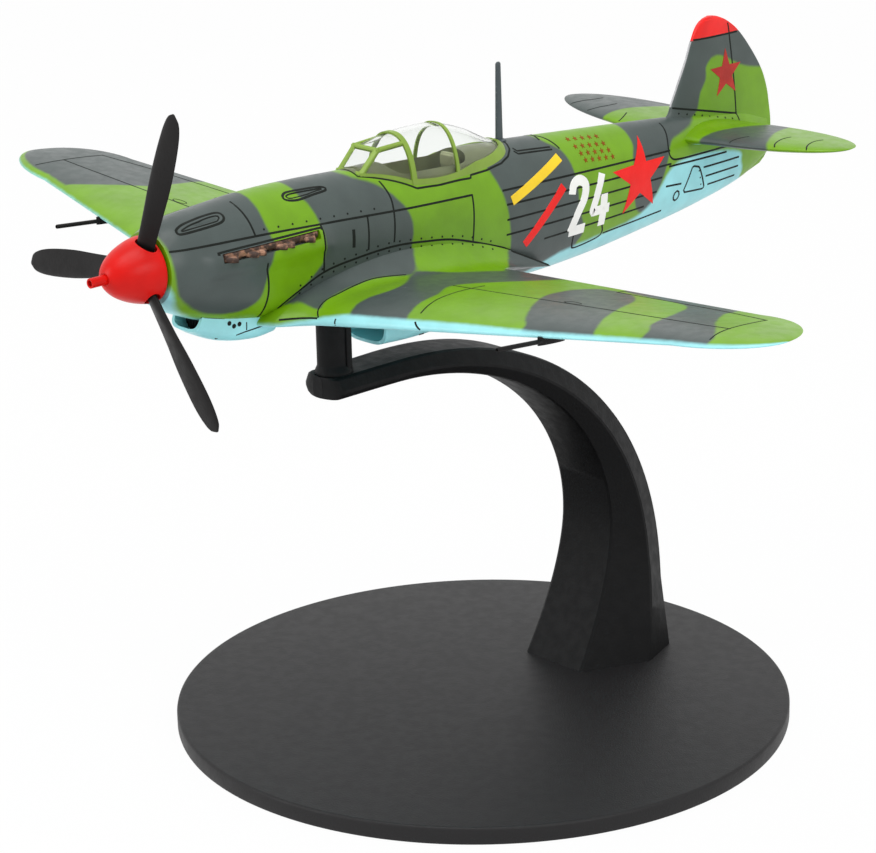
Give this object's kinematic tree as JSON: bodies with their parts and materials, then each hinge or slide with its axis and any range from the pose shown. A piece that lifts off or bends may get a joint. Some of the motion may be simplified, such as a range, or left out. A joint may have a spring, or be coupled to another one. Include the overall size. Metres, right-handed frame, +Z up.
{
  "type": "propeller plane display model",
  "caption": "Display model of a single-seat piston fighter in camouflage, on a peg over an arched arm and a round base; it lifts off the peg and its propeller spins.",
  "frame": {"origin": "centre of the round base on its underside, on the table", "axes": "+X to the aircraft's port side, the nose along -Y, +Z up"},
  "size_m": [0.1366, 0.1211, 0.0931],
  "materials": {
    "camouflage": "satin two-colour camouflage over pale blue undersides",
    "underside": "satin pale blue",
    "spinner_red": "satin red",
    "blade_black": "satin black",
    "exhaust_brown": "matt dark brown",
    "cockpit_green": "matt dark green",
    "seat_leather": "matt dark brown",
    "panel_black": "matt black",
    "clear_canopy": "clear",
    "canopy_paint": "satin green",
    "mast_grey": "satin dark grey",
    "stand_black": "satin black",
    "bush_brass": "plain",
    "steel": "plain"
  },
  "bodies": {
    "stand": {"stand_base": "stand_black", "stand_arm": "stand_black", "stand_post": "stand_black", "base_screws": "steel"},
    "aircraft": {"fuselage_left": "camouflage", "fuselage_right": "camouflage", "wing": "camouflage", "wing_screws": "steel", "tailplane_left": "camouflage", "tailplane_right": "camouflage", "cockpit_tub": "cockpit_green", "pilot_seat": "seat_leather", "instrument_panel": "panel_black", "control_stick": "panel_black", "headrest": "seat_leather", "canopy_glass": "clear_canopy", "canopy_frame": "canopy_paint", "antenna_mast": "mast_grey", "exhaust_left": "exhaust_brown", "exhaust_right": "exhaust_brown", "oil_cooler": "underside", "belly_radiator": "underside", "pitot_left": "blade_black", "pitot_right": "blade_black", "shaft_bush": "bush_brass"},
    "propeller": {"propeller_shaft": "steel", "propeller": "blade_black", "spinner": "spinner_red", "spinner_backplate": "spinner_red"}
  },
  "joints": [
    {"name": "aircraft_lift", "type": "slide", "parent": "stand", "child": "aircraft", "axis": [0, 0, 1], "range_m": [0, 0.03]},
    {"name": "propeller_spin", "type": "hinge", "parent": "aircraft", "child": "propeller", "pos_m": [0, -0.05, 0.07332], "axis": [0, 1, 0], "continuous": true}
  ]
}
